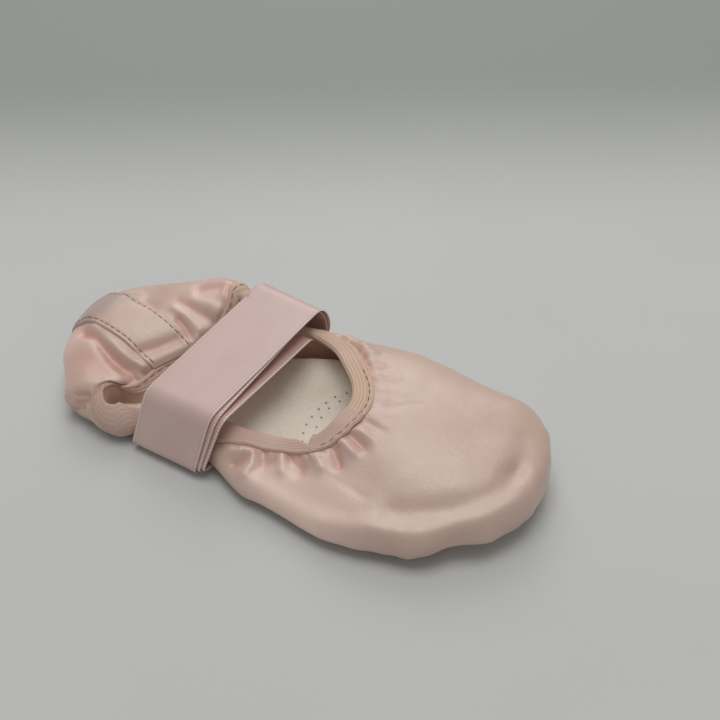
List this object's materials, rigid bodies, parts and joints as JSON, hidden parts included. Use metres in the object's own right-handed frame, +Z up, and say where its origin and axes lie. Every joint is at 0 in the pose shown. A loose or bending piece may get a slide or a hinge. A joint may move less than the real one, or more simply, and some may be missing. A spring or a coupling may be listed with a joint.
{
  "type": "ballet slipper",
  "caption": "Soft satin ballet slipper, empty and slack, with a ribbed elastic collar binding, canvas insole, split suede sole and a wide satin ribbon wound round its waist.",
  "frame": {"origin": "on the floor under the middle of the slipper's box", "axes": "+X from heel to toe, +Y to the side where the ribbon is sewn in, +Z up"},
  "size_m": [0.1712, 0.0744, 0.0301],
  "materials": {
    "satin": "pale pink satin with a soft sheen",
    "elastic": "matt peach ribbed elastic",
    "canvas": "matt brushed cream canvas",
    "suede": "matt suede",
    "ribbon_satin": "mauve-pink satin with fine woven edges"
  },
  "bodies": {
    "root": {"upper": "satin", "collar_binding": "elastic", "heel_strip": "satin", "insole": "canvas", "front_sole_pad": "suede", "heel_sole_pad": "suede", "ribbon": "ribbon_satin"}
  },
  "joints": []
}
